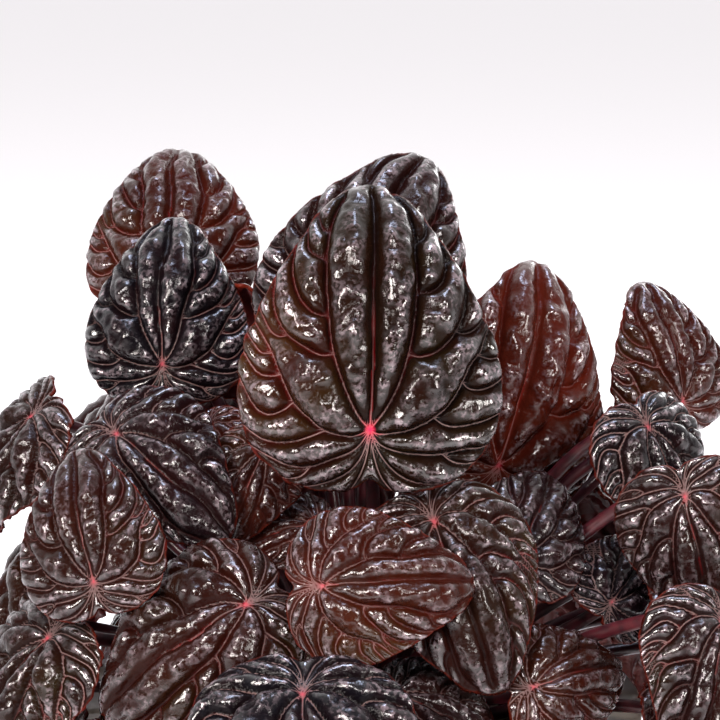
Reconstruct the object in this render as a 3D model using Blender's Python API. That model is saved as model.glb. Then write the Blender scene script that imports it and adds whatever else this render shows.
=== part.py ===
# Ripple peperomia growing in a plain round pot.
# Every leaf is one grown piece, a heart-shaped blade on its own petiole, and stands on a short crown.
# Frame: metres, +Z up, origin at the centre of the pot's flat underside, the plant's front towards -Y.

import math

import bmesh
import bpy
from mathutils import Vector

MM = 0.001
GAP = 0.3 * MM

# Pot
POT_HEIGHT = 92 * MM
POT_BASE_RADIUS = 38 * MM
POT_TOP_RADIUS = 50 * MM
POT_WALL = 4 * MM
POT_FLOOR = 5 * MM
RIM_HEIGHT = 17 * MM
RIM_OVERHANG = 3 * MM
ROUND_EDGE = 1.2 * MM
POT_STEPS = 48
DRAIN_COUNT = 4
DRAIN_RADIUS = 4.5 * MM
DRAIN_CIRCLE_RADIUS = 20 * MM
DRAIN_STEPS = 12

# Soil
SOIL_LEVEL = 80 * MM
SOIL_CROWNING = 3 * MM
SOIL_DIP = 1.5 * MM

# Crown, the short stem that carries the leaves
CROWN_RADIUS = 16 * MM
CROWN_DOME = 14 * MM
CROWN_ROOT = 10 * MM
CROWN_STEPS = 20
DOME_STEPS = 5

# Leaves
BLADE_THICKNESS = 1.9 * MM
BLADE_EDGE = 0.8 * MM
PETIOLE_RADIUS = 1.25 * MM
PETIOLE_SIDES = 6
PETIOLE_STEPS = 7
PETIOLE_LIFT = 0.5
BASE_SPACING = 4.4 * MM
BASE_LOWEST = 0.16
SPREAD_ROUNDS = 200
SPREAD_PUSH = 0.3
OUTLINE_STEPS = 18
MID_RING = 0.55

# Blade outline about the point where the petiole joins it: degrees from the tip, and radius
# as a share of the distance from that point to the tip.
OUTLINE = (
    (0, 1.00), (9, 0.955), (17, 0.86), (27, 0.765), (42, 0.67), (58, 0.615), (75, 0.56), (92, 0.51),
    (109, 0.445), (128, 0.375), (148, 0.30), (166, 0.25), (180, 0.20),
)

# The leaves that show in front, one row each: the joint of petiole and blade in millimetres, the way
# the face looks (degrees round from the front towards +X, degrees above level), the clock turn of the
# tip in degrees seen from the face, the length from joint to tip in millimetres, and the fold.
FRONT_LEAVES = (
    (2, -33, 151, 0, 12, 0, 42.5, 0.10),
    (-2, -9, 163, 0, 15, 22, 36, 0.10),
    (-37, 36, 166, -5, 35, -5, 32, 0.10),
    (-36, 2, 155, -9, 20, -3, 29, 0.15),
    (-20, 18, 150, 165, 10, 0, 20, 0.10),
    (-43, -15, 146, -15, 40, 125, 27, 0.10),
    (-27, -5, 145, 0, 35, 170, 16, 0.10),
    (-17, -16, 143, -10, 25, 200, 17, 0.10),
    (-8, -17, 130, -9, 45, 250, 15, 0.10),
    (-45, -39, 126, -10, 20, -15, 24, 0.10),
    (-19, -42, 123, -11, 35, 231, 31, 0.20),
    (-6, -48, 128, -6, 20, 87, 25, 0.15),
    (13, -33, 135, 3, 40, 160, 30, 0.20),
    (-9, -61, 114, 0, 50, 180, 35, 0.10),
    (7, -42, 107, 15, 55, 125, 21, 0.10),
    (30, -41, 108, 25, 35, 85, 21, 0.15),
    (28, -28, 127, 20, 40, 35, 22, 0.10),
    (26, 1, 136, 18, 3, 20, 38, 0.10),
    (62, 19, 144, 24, 15, -6, 24, 0.10),
    (52, -10, 146, 30, 22, 167, 23, 0.10),
    (56, -32, 139, -6, 10, 166, 24, 0.10),
    (61, -46, 121, 17, 25, 199, 24, 0.10),
    (45, -22, 117, 39, 30, 56, 18, 0.10),
    (-34, -36, 110, -30, 35, 186, 22, 0.10),
    (-54, -33, 114, -45, 30, 200, 26, 0.10),
    (-60, -2, 146, -60, 30, 200, 27, 0.10),
)

# The leaves at the sides, at the back and over the rim: degrees round the pot from the front towards
# +X, reach from its axis and height of the joint in millimetres, then as above, with the way the face
# looks counted from straight outwards.
OUTER_LEAVES = (
    (180, 14, 170, 0, 60, 180, 29),
    (148, 40, 160, 5, 53, 165, 30),
    (204, 36, 158, 5, 37, 200, 27),
    (94, 54, 140, 5, 27, 175, 28),
    (136, 50, 141, 5, 52, 190, 31),
    (172, 50, 146, -18, 40, 170, 31),
    (208, 54, 140, 5, 42, 185, 31),
    (240, 52, 144, 0, 42, 175, 29),
    (78, 64, 117, -8, 35, 195, 30),
    (105, 68, 116, 1, 30, 170, 29),
    (129, 57, 122, 5, 36, 185, 30),
    (156, 60, 118, 10, 36, 175, 30),
    (188, 57, 127, -5, 36, 190, 31),
    (209, 59, 117, 5, 40, 165, 30),
    (240, 58, 122, 5, 36, 185, 30),
    (267, 61, 120, 5, 32, 175, 29),
    (8, 60, 97, 8, 32, 180, 28),
    (37, 65, 95, 5, 28, 170, 28),
    (68, 63, 98, 5, 30, 188, 28),
    (92, 64, 102, 5, 26, 172, 30),
    (118, 60, 99, -5, 30, 190, 28),
    (145, 63, 102, 5, 26, 175, 29),
    (171, 61, 98, -6, 30, 186, 28),
    (198, 63, 102, 5, 26, 170, 30),
    (226, 59, 98, 5, 30, 192, 28),
    (253, 63, 101, -5, 28, 178, 30),
    (281, 64, 98, 0, 30, 170, 29),
    (307, 63, 96, -5, 28, 183, 27),
    (338, 60, 97, 5, 30, 172, 28),
    (120, 31, 151, 20, 45, 195, 23),
    (48, 20, 134, 15, 69, 170, 20),
)
OUTER_FOLD = 0.12


def clear_scene():
    """Empties the scene, so that the script can be run again."""
    for old in list(bpy.data.objects):
        bpy.data.objects.remove(old)


def material(name, colour, roughness):
    """A plain Principled material."""
    made = bpy.data.materials.new(name)
    made.use_nodes = True
    shader = made.node_tree.nodes["Principled BSDF"]
    shader.inputs["Base Color"].default_value = (*colour, 1)
    shader.inputs["Roughness"].default_value = roughness
    return made


def new_object(name, mesh, finish):
    """Links a named object with its material into the scene."""
    made = bpy.data.objects.new(name, mesh)
    made.data.materials.append(finish)
    bpy.context.scene.collection.objects.link(made)
    return made


def turned(name, profile, steps, finish):
    """A solid turned about Z from a closed outline of (radius, height) points."""
    bm = bmesh.new()
    points = [bm.verts.new((radius, 0, height)) for radius, height in profile]
    edges = [bm.edges.new((a, b)) for a, b in zip(points, points[1:])]
    bmesh.ops.spin(
        bm, geom=points + edges, cent=(0, 0, 0), axis=(0, 0, 1), angle=math.tau, steps=steps, use_merge=True
    )
    bmesh.ops.remove_doubles(bm, verts=bm.verts, dist=0.01 * MM)
    bmesh.ops.recalc_face_normals(bm, faces=bm.faces)
    mesh = bpy.data.meshes.new(name)
    bm.to_mesh(mesh)
    bm.free()
    mesh.shade_smooth()
    mesh.set_sharp_from_angle(angle=math.radians(35))
    return new_object(name, mesh, finish)


def pot_outer_radius(height):
    """Radius of the pot's tapered outside at a height."""
    return POT_BASE_RADIUS + (POT_TOP_RADIUS - POT_BASE_RADIUS) * height / POT_HEIGHT


def pot_inner_radius(height):
    """Radius of the pot's tapered inside at a height."""
    return pot_outer_radius(height) - POT_WALL


def make_pot(finish):
    """A tapered pot with a thicker rim and drain holes through its floor."""
    rim_foot = POT_HEIGHT - RIM_HEIGHT
    rim_out = POT_TOP_RADIUS + RIM_OVERHANG
    profile = (
        (0, 0),
        (POT_BASE_RADIUS - ROUND_EDGE, 0),
        (POT_BASE_RADIUS, ROUND_EDGE),
        (pot_outer_radius(rim_foot), rim_foot),
        (rim_out - ROUND_EDGE, rim_foot + ROUND_EDGE),
        (rim_out, rim_foot + 2 * ROUND_EDGE),
        (rim_out, POT_HEIGHT - ROUND_EDGE),
        (rim_out - ROUND_EDGE, POT_HEIGHT),
        (pot_inner_radius(POT_HEIGHT) + ROUND_EDGE, POT_HEIGHT),
        (pot_inner_radius(POT_HEIGHT), POT_HEIGHT - ROUND_EDGE),
        (pot_inner_radius(POT_FLOOR), POT_FLOOR + ROUND_EDGE),
        (pot_inner_radius(POT_FLOOR) - ROUND_EDGE, POT_FLOOR),
        (0, POT_FLOOR),
    )
    pot = turned("pot", profile, POT_STEPS, finish)
    for index in range(DRAIN_COUNT):
        angle = math.tau * (index + 0.5) / DRAIN_COUNT
        x, y = DRAIN_CIRCLE_RADIUS * math.cos(angle), DRAIN_CIRCLE_RADIUS * math.sin(angle)
        drill(pot, f"drain_cutter_{index + 1}", (x, y), DRAIN_RADIUS, POT_FLOOR)
    return pot


def drill(pot, name, place, radius, depth):
    """A Boolean that takes a round hole through the pot's floor."""
    bm = bmesh.new()
    bmesh.ops.create_cone(
        bm, cap_ends=True, segments=DRAIN_STEPS, radius1=radius, radius2=radius, depth=3 * depth
    )
    bmesh.ops.translate(bm, verts=bm.verts, vec=(*place, depth / 2))
    mesh = bpy.data.meshes.new(name)
    bm.to_mesh(mesh)
    bm.free()
    cutter = bpy.data.objects.new(name, mesh)
    bpy.context.scene.collection.objects.link(cutter)
    cutter.hide_render = True
    cutter.display_type = "WIRE"
    cut = pot.modifiers.new(name, "BOOLEAN")
    cut.operation = "DIFFERENCE"
    cut.solver = "EXACT"
    cut.object = cutter


def make_soil(finish):
    """The root ball and potting mix, with a socket in its top for the crown."""
    floor = POT_FLOOR + GAP
    edge = pot_inner_radius(SOIL_LEVEL) - GAP
    socket = CROWN_RADIUS + GAP
    profile = (
        (0, floor),
        (pot_inner_radius(floor) - ROUND_EDGE - GAP, floor),
        (pot_inner_radius(floor) - GAP, floor + ROUND_EDGE + GAP),
        (edge, SOIL_LEVEL - SOIL_DIP),
        ((edge + socket) / 2, SOIL_LEVEL),
        (socket, SOIL_LEVEL + SOIL_CROWNING),
        (socket, SOIL_LEVEL - CROWN_ROOT - GAP),
        (0, SOIL_LEVEL - CROWN_ROOT - GAP),
    )
    return turned("soil", profile, POT_STEPS, finish)


def make_crown(finish):
    """The short stout stem, a low dome above the soil with its root end let into it."""
    rise = SOIL_LEVEL + SOIL_CROWNING
    dome = [
        (
            CROWN_RADIUS * math.cos(math.pi / 2 * step / DOME_STEPS),
            rise + CROWN_DOME * math.sin(math.pi / 2 * step / DOME_STEPS),
        )
        for step in range(DOME_STEPS)
    ]
    foot = SOIL_LEVEL - CROWN_ROOT
    profile = [(0, foot), (CROWN_RADIUS, foot), *dome, (0, rise + CROWN_DOME)]
    return turned("crown", profile, CROWN_STEPS, finish)


def outline_radius(degrees):
    """The blade's outline at an angle from the tip, a smooth curve through the points of OUTLINE."""
    angle = abs((degrees + 180) % 360 - 180)
    rows = [(-OUTLINE[1][0], OUTLINE[1][1]), *OUTLINE, (360 - OUTLINE[-2][0], OUTLINE[-2][1])]
    index = next(i for i in range(1, len(rows) - 2) if angle <= rows[i + 1][0])
    (a0, r0), (a1, r1), (a2, r2), (a3, r3) = rows[index - 1: index + 3]
    t = (angle - a1) / (a2 - a1)
    slope1 = (r2 - r0) / (a2 - a0) * (a2 - a1)
    slope2 = (r3 - r1) / (a3 - a1) * (a2 - a1)
    return (
        (2 * t**3 - 3 * t**2 + 1) * r1
        + (t**3 - 2 * t**2 + t) * slope1
        + (3 * t**2 - 2 * t**3) * r2
        + (t**3 - t**2) * slope2
    )


def blade_height(x, y, fold):
    """Height of the blade's middle surface in its own plane, all as shares of the length: a dome
    with a nodding tip, its halves folded back along the midrib."""
    dome = -0.34 * (x * x + (y - 0.22) ** 2 - 0.22**2)
    nod = -0.35 * max(0.0, y - 0.45) ** 2
    folded = -fold * (math.sqrt(x * x + 0.01) - 0.1)
    return dome + nod + folded


def leaf_axes(facing, rising, turn):
    """Across, tip and normal directions of a blade."""
    around, above, clock = (math.radians(value) for value in (facing, rising, turn))
    level, lift = math.cos(above), math.sin(above)
    normal = Vector((math.sin(around) * level, -math.cos(around) * level, lift))
    upward = Vector((-math.sin(around) * lift, math.cos(around) * lift, level))
    rightward = upward.cross(normal)
    tip = math.cos(clock) * upward + math.sin(clock) * rightward
    return tip.cross(normal), tip, normal


def crown_centre():
    """The point that the petioles spread from."""
    return Vector((0, 0, SOIL_LEVEL + SOIL_CROWNING))


def on_crown(direction, clearance):
    """The point that lies over the crown's dome in a direction, this far off its surface."""
    flat = direction.normalized()
    return crown_centre() + Vector(
        (
            flat.x * (CROWN_RADIUS + clearance),
            flat.y * (CROWN_RADIUS + clearance),
            flat.z * (CROWN_DOME + clearance),
        )
    )


def petiole_bases(joints):
    """Where each petiole stands on the crown: towards its blade, pushed apart to the spacing."""
    ways = [(joint - crown_centre()).normalized() for joint in joints]
    for _ in range(SPREAD_ROUNDS):
        pushes = [Vector() for _ in ways]
        for i, one in enumerate(ways):
            for j in range(i + 1, len(ways)):
                between = one - ways[j]
                apart = between.length * CROWN_RADIUS
                if apart < BASE_SPACING:
                    push = between.normalized() * (BASE_SPACING - apart) / CROWN_RADIUS * SPREAD_PUSH
                    pushes[i] += push
                    pushes[j] -= push
        ways = [(way + push).normalized() for way, push in zip(ways, pushes)]
        ways = [Vector((way.x, way.y, max(way.z, BASE_LOWEST))).normalized() for way in ways]
    return ways


def petiole_line(way, joint, tip, normal):
    """Centre line of a petiole: it leaves the crown outwards and meets the blade from behind."""
    start = on_crown(way, PETIOLE_RADIUS * 0.2 + GAP)
    reach = (joint - start).length
    leaving = (way + Vector((0, 0, PETIOLE_LIFT))).normalized()
    arriving = (normal * 0.8 + tip * 0.35).normalized()
    handles = (start, start + leaving * reach * 0.4, joint - arriving * reach * 0.28, joint)
    points = []
    for step in range(PETIOLE_STEPS + 1):
        t = step / PETIOLE_STEPS
        weights = ((1 - t) ** 3, 3 * t * (1 - t) ** 2, 3 * t * t * (1 - t), t**3)
        points.append(sum((w * h for w, h in zip(weights, handles)), Vector()))
    return points


def ring_of(bm, centre, across, along, radius, sides):
    """A ring of vertices about a point."""
    return [
        bm.verts.new(centre + (across * math.cos(a) + along * math.sin(a)) * radius)
        for a in (math.tau * k / sides for k in range(sides))
    ]


def joined_in_loop(bm, ring):
    """The edges that close a ring of vertices."""
    return [bm.edges.new((a, b)) for a, b in zip(ring, ring[1:] + ring[:1])]


def make_leaf(name, row, way, finish):
    """One leaf as a closed solid: the blade, and the petiole drawn out of the middle of its underside."""
    x, y, z, facing, rising, turn, length, fold = row
    joint = Vector((x, y, z)) * MM
    length *= MM
    across, tip, normal = leaf_axes(facing, rising, turn)

    def blade_ring(share, lift):
        ring = []
        for k in range(OUTLINE_STEPS):
            angle = 360 * k / OUTLINE_STEPS
            radius = outline_radius(angle) * share
            u, v = radius * math.sin(math.radians(angle)), radius * math.cos(math.radians(angle))
            height = blade_height(u, v, fold) * length + lift
            ring.append(bm.verts.new(joint + (across * u + tip * v) * length + normal * height))
        return ring

    bm = bmesh.new()
    top_middle = blade_ring(MID_RING, BLADE_THICKNESS)
    top_edge = blade_ring(1, BLADE_EDGE)
    under_edge = blade_ring(1, 0)
    under_middle = blade_ring(MID_RING, 0)
    centre = bm.verts.new(joint + normal * BLADE_THICKNESS)
    line = petiole_line(way, joint, tip, normal)
    rings = [top_middle, top_edge, under_edge, under_middle]
    for step in range(PETIOLE_STEPS, -1, -1):
        if step == PETIOLE_STEPS:
            heading = normal
        else:
            heading = (line[step + 1] - line[max(step - 1, 0)]).normalized()
        side = across - heading * across.dot(heading)
        side.normalize()
        rings.append(ring_of(bm, line[step], side, heading.cross(side), PETIOLE_RADIUS, PETIOLE_SIDES))
    loops = [joined_in_loop(bm, ring) for ring in rings]
    for first, second in zip(loops, loops[1:]):
        bmesh.ops.bridge_loops(bm, edges=first + second)
    for a, b in zip(top_middle, top_middle[1:] + top_middle[:1]):
        bm.faces.new((centre, a, b))
    bm.faces.new(rings[-1])
    bmesh.ops.triangulate(bm, faces=bm.faces)
    bmesh.ops.recalc_face_normals(bm, faces=bm.faces)
    mesh = bpy.data.meshes.new(name)
    bm.to_mesh(mesh)
    bm.free()
    mesh.shade_smooth()
    mesh.set_sharp_from_angle(angle=math.radians(50))
    return new_object(name, mesh, finish)


def leaf_rows():
    """Every leaf's row in the terms of FRONT_LEAVES."""
    rows = list(FRONT_LEAVES)
    for round_pot, reach, height, aside, rising, turn, length in OUTER_LEAVES:
        x = reach * math.sin(math.radians(round_pot))
        y = -reach * math.cos(math.radians(round_pot))
        rows.append((x, y, height, round_pot + aside, rising, turn, length, OUTER_FOLD))
    return rows


def make_leaves(finish):
    """All the leaves."""
    rows = leaf_rows()
    ways = petiole_bases([Vector(row[:3]) * MM for row in rows])
    for index, (row, way) in enumerate(zip(rows, ways)):
        make_leaf(f"leaf_{index + 1:02d}", row, way, finish)


def main():
    clear_scene()
    make_pot(material("pot_ceramic", (0.76, 0.73, 0.68), 0.6))
    make_soil(material("potting_mix", (0.05, 0.035, 0.025), 0.95))
    make_crown(material("crown_stem", (0.16, 0.07, 0.05), 0.7))
    make_leaves(material("leaf", (0.09, 0.025, 0.02), 0.3))


main()
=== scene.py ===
# Ripple peperomia in a plain pot: the looks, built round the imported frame.
# Metres, +Z up, origin at the centre of the pot's flat underside, the plant's front towards -Y.

import math

import bpy
import numpy as np
from mathutils import Matrix, Vector


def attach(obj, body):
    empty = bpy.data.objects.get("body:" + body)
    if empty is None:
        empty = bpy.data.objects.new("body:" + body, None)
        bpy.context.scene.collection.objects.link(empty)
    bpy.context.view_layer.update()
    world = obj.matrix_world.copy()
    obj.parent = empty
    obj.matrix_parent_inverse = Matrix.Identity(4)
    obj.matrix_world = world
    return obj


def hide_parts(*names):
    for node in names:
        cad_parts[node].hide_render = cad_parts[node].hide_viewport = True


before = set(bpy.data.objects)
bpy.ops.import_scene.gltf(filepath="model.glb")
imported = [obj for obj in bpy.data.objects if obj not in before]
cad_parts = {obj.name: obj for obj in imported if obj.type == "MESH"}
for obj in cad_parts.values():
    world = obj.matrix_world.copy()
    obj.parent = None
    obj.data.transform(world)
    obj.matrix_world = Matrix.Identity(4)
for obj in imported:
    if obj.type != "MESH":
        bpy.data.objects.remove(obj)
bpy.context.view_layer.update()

bl_info = {
    "name": "Ripple Peperomia",
    "version": (1, 0, 0),
    "blender": (4, 5, 0),
    "location": "3D View > Sidebar > Peperomia",
    "description": "Builds a potted ripple peperomia leaf by leaf",
    "category": "Add Mesh",
}

MM = 0.001
GAP = 0.3 * MM

# Sockets by number: a map range node's inputs, and a colour mix node's inputs and result
VALUE, LOW, HIGH, FROM, TO = range(5)
SHARE, UNDER, OVER, MIXED = 0, 6, 7, 2

# Blade outline about the joint of blade and petiole: degrees from the tip, share of the length.
OUTLINE = (
    (0, 1.00), (9, 0.955), (17, 0.86), (27, 0.765), (42, 0.67), (58, 0.615), (75, 0.56), (92, 0.51),
    (109, 0.445), (128, 0.375), (148, 0.30), (166, 0.25), (180, 0.20),
)

# The leaves in front, as the frame has them: joint in millimetres, facing, rising, turn, length, fold.
# The last two are the red of the leaf, partly its own and partly a painted glow of light through it, and its
# plum against its chocolate brown, from 0 to 1.
FRONT_LEAVES = (
    (2, -33, 151, 0, 12, 0, 42.5, 0.10, 0, 0.1),
    (-2, -9, 163, 0, 15, 22, 36, 0.10, 0.05, 0.5),
    (-37, 36, 166, -5, 35, -5, 32, 0.10, 0.3, 0.2),
    (-36, 2, 155, -9, 20, -3, 29, 0.15, 0, 0.9),
    (-20, 18, 150, 165, 10, 0, 20, 0.10, 0.9, 0),
    (-43, -15, 146, -15, 40, 125, 27, 0.10, 0.05, 0.8),
    (-27, -5, 145, 0, 35, 170, 16, 0.10, 0.3, 0.3),
    (-17, -16, 143, -10, 25, 200, 17, 0.10, 0.2, 0.3),
    (-8, -17, 130, -9, 45, 250, 15, 0.10, 0.2, 0.3),
    (-45, -39, 126, -10, 20, -15, 24, 0.10, 0.1, 0.35),
    (-19, -42, 123, -11, 35, 231, 31, 0.20, 0.12, 0.25),
    (-6, -48, 128, -6, 20, 87, 25, 0.15, 0.28, 0.1),
    (13, -33, 135, 3, 40, 160, 30, 0.20, 0.08, 0.3),
    (-9, -61, 114, 0, 50, 180, 35, 0.10, 0, 1),
    (7, -42, 107, 15, 55, 125, 21, 0.10, 0.05, 0.7),
    (30, -41, 108, 25, 35, 85, 21, 0.15, 0.2, 0.1),
    (28, -28, 127, 20, 40, 35, 22, 0.10, 0.05, 0.7),
    (26, 1, 136, 18, 3, 20, 38, 0.10, 0.55, 0.1),
    (62, 19, 144, 24, 15, -6, 24, 0.10, 0.25, 0.2),
    (52, -10, 146, 30, 22, 167, 23, 0.10, 0, 0.8),
    (56, -32, 139, -6, 10, 166, 24, 0.10, 0.05, 0.5),
    (61, -46, 121, 17, 25, 199, 24, 0.10, 0.05, 0.5),
    (45, -22, 117, 39, 30, 56, 18, 0.10, 0, 0.9),
    (-34, -36, 110, -30, 35, 186, 22, 0.10, 0.1, 0.3),
    (-54, -33, 114, -45, 30, 200, 26, 0.10, 0.05, 0.3),
    (-60, -2, 146, -60, 30, 200, 27, 0.10, 0.05, 0.3),
)

# The leaves of the sides, back and rim: degrees round the pot, reach, height, aside, rising, turn, length.
OUTER_LEAVES = (
    (180, 14, 170, 0, 60, 180, 29),
    (148, 40, 160, 5, 53, 165, 30),
    (204, 36, 158, 5, 37, 200, 27),
    (94, 54, 140, 5, 27, 175, 28),
    (136, 50, 141, 5, 52, 190, 31),
    (172, 50, 146, -18, 40, 170, 31),
    (208, 54, 140, 5, 42, 185, 31),
    (240, 52, 144, 0, 42, 175, 29),
    (78, 64, 117, -8, 35, 195, 30),
    (105, 68, 116, 1, 30, 170, 29),
    (129, 57, 122, 5, 36, 185, 30),
    (156, 60, 118, 10, 36, 175, 30),
    (188, 57, 127, -5, 36, 190, 31),
    (209, 59, 117, 5, 40, 165, 30),
    (240, 58, 122, 5, 36, 185, 30),
    (267, 61, 120, 5, 32, 175, 29),
    (8, 60, 97, 8, 32, 180, 28),
    (37, 65, 95, 5, 28, 170, 28),
    (68, 63, 98, 5, 30, 188, 28),
    (92, 64, 102, 5, 26, 172, 30),
    (118, 60, 99, -5, 30, 190, 28),
    (145, 63, 102, 5, 26, 175, 29),
    (171, 61, 98, -6, 30, 186, 28),
    (198, 63, 102, 5, 26, 170, 30),
    (226, 59, 98, 5, 30, 192, 28),
    (253, 63, 101, -5, 28, 178, 30),
    (281, 64, 98, 0, 30, 170, 29),
    (307, 63, 96, -5, 28, 183, 27),
    (338, 60, 97, 5, 30, 172, 28),
    (120, 31, 151, 20, 45, 195, 23),
    (48, 20, 134, 15, 69, 170, 20),
)
OUTER_FOLD = 0.12

# The main leaf's veins, as shares of its length: points across and along from the joint.
VEINS = (
    ((0, 0), (0.008, 0.14), (0.012, 0.30), (0.013, 0.53), (0.018, 0.70), (0.018, 0.86), (0.008, 0.97)),
    ((0, 0), (0.065, 0.086), (0.118, 0.19), (0.158, 0.32), (0.178, 0.446), (0.186, 0.56), (0.184, 0.70),
         (0.174, 0.815), (0.145, 0.893), (0.085, 0.965)),
    ((0, 0), (0.034, -0.018), (0.10, -0.012), (0.163, 0), (0.257, 0.047), (0.326, 0.112), (0.373, 0.19),
         (0.403, 0.258), (0.446, 0.309), (0.462, 0.36), (0.50, 0.45)),
    ((0, 0), (0.04, -0.06), (0.12, -0.09), (0.206, -0.10), (0.29, -0.099), (0.378, -0.08), (0.45, -0.075),
         (0.53, -0.05)),
    ((0, 0), (0.03, -0.08), (0.07, -0.14), (0.12, -0.185), (0.19, -0.215), (0.29, -0.219), (0.37, -0.20),
         (0.44, -0.17)),
    ((0, -0.03), (0.022, -0.13), (0.05, -0.20), (0.10, -0.26)),
    ((0.186, 0.545), (0.24, 0.55), (0.285, 0.58), (0.305, 0.64), (0.30, 0.70), (0.285, 0.76), (0.27, 0.83)),
    ((0.182, 0.752), (0.21, 0.762), (0.228, 0.79), (0.225, 0.86)),
    ((0.16, 0.30), (0.206, 0.292), (0.275, 0.318), (0.335, 0.378), (0.37, 0.446), (0.383, 0.515),
         (0.384, 0.585), (0.38, 0.66)),
    ((0.257, 0.047), (0.30, 0.018), (0.36, 0.013), (0.463, 0.034), (0.56, 0.08)),
    ((0.373, 0.19), (0.403, 0.162), (0.464, 0.163), (0.52, 0.19), (0.575, 0.24)),
    ((0.436, 0.30), (0.48, 0.285), (0.52, 0.29), (0.57, 0.31)),
    ((0.29, -0.099), (0.335, -0.132), (0.40, -0.14), (0.48, -0.12)),
    ((0.345, 0.397), (0.375, 0.385), (0.42, 0.40), (0.46, 0.45), (0.48, 0.50)),
    ((0.303, 0.67), (0.325, 0.68), (0.34, 0.71)),
    ((0, 0), (-0.05, 0.06), (-0.10, 0.17), (-0.146, 0.31), (-0.163, 0.446), (-0.172, 0.618),
         (-0.167, 0.747), (-0.146, 0.85), (-0.095, 0.95)),
    ((0, 0), (-0.04, -0.018), (-0.086, -0.026), (-0.18, -0.004), (-0.249, 0.051), (-0.309, 0.11),
         (-0.36, 0.223), (-0.395, 0.309), (-0.438, 0.386), (-0.49, 0.47)),
    ((0, 0), (-0.04, -0.06), (-0.086, -0.094), (-0.155, -0.12), (-0.24, -0.15), (-0.326, -0.146),
         (-0.412, -0.11), (-0.50, -0.06)),
    ((0, 0), (-0.03, -0.10), (-0.08, -0.165), (-0.15, -0.205), (-0.24, -0.23), (-0.32, -0.23)),
    ((0, -0.03), (-0.02, -0.13), (-0.05, -0.20), (-0.09, -0.26)),
    ((-0.172, 0.455), (-0.232, 0.472), (-0.283, 0.532), (-0.309, 0.618), (-0.309, 0.678), (-0.29, 0.78)),
    ((-0.148, 0.302), (-0.20, 0.30), (-0.266, 0.335), (-0.335, 0.386), (-0.378, 0.464), (-0.386, 0.532),
         (-0.38, 0.66)),
    ((-0.17, 0.68), (-0.223, 0.704), (-0.249, 0.738), (-0.252, 0.84)),
    ((-0.155, 0.80), (-0.19, 0.81), (-0.21, 0.88)),
    ((-0.18, -0.004), (-0.249, -0.03), (-0.309, -0.047), (-0.395, -0.05), (-0.46, -0.026), (-0.55, 0.043)),
    ((-0.309, 0.11), (-0.35, 0.078), (-0.41, 0.06), (-0.464, 0.09), (-0.51, 0.17), (-0.56, 0.26)),
    ((-0.36, 0.223), (-0.40, 0.215), (-0.46, 0.235), (-0.53, 0.34)),
    ((-0.395, 0.309), (-0.44, 0.31), (-0.48, 0.36), (-0.53, 0.43)),
    ((-0.33, 0.38), (-0.37, 0.375), (-0.41, 0.41), (-0.45, 0.50)),
    ((-0.24, -0.15), (-0.28, -0.19), (-0.34, -0.20), (-0.40, -0.185)),
)


class PotSettings(bpy.types.PropertyGroup):
    """Sizes and colours of the pot."""

    height: bpy.props.FloatProperty(
        name="Height", description="Height of the pot", default=92 * MM, subtype="DISTANCE", unit="LENGTH"
    )
    base_radius: bpy.props.FloatProperty(
        name="Base radius", description="Radius of the underside", default=38 * MM, unit="LENGTH"
    )
    top_radius: bpy.props.FloatProperty(
        name="Top radius", description="Radius of the body at the top, under the rim", default=50 * MM,
        unit="LENGTH",
    )
    wall: bpy.props.FloatProperty(
        name="Wall", description="Thickness of the wall", default=4 * MM, unit="LENGTH"
    )
    rim_height: bpy.props.FloatProperty(
        name="Rim height", description="Height of the thicker rim", default=17 * MM, unit="LENGTH"
    )
    rim_overhang: bpy.props.FloatProperty(
        name="Rim overhang", description="How far the rim stands proud", default=3 * MM, unit="LENGTH"
    )
    clay: bpy.props.StringProperty(
        name="Clay", description="Colour of the clay, sRGB hex", default="948b7e"
    )
    speck: bpy.props.StringProperty(
        name="Speck", description="Colour of the grit in it, sRGB hex", default="9a8c78"
    )


class SoilSettings(bpy.types.PropertyGroup):
    """Sizes and colours of the potting mix."""

    crumbs: bpy.props.IntProperty(name="Crumbs", description="Loose crumbs of mix", default=420)
    perlite: bpy.props.IntProperty(name="Perlite", description="Grains of perlite", default=46)
    # The darker colour that the mix takes towards the edges of its clods
    clod_gap: bpy.props.StringProperty(
        name="Wet hollows", description="Between the clods, sRGB hex", default="120b07"
    )
    damp: bpy.props.StringProperty(
        name="Damp mix", description="Colour of damp mix, sRGB hex", default="2a1c13"
    )
    dry: bpy.props.StringProperty(
        name="Dry mix", description="Colour of dry mix, sRGB hex", default="5a4230"
    )
    chalk: bpy.props.StringProperty(
        name="Perlite", description="Colour of perlite, sRGB hex", default="e9e5dc"
    )
    pit: bpy.props.StringProperty(
        name="Perlite pits", description="Colour of its pits, sRGB hex", default="b9b2a6"
    )


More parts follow.
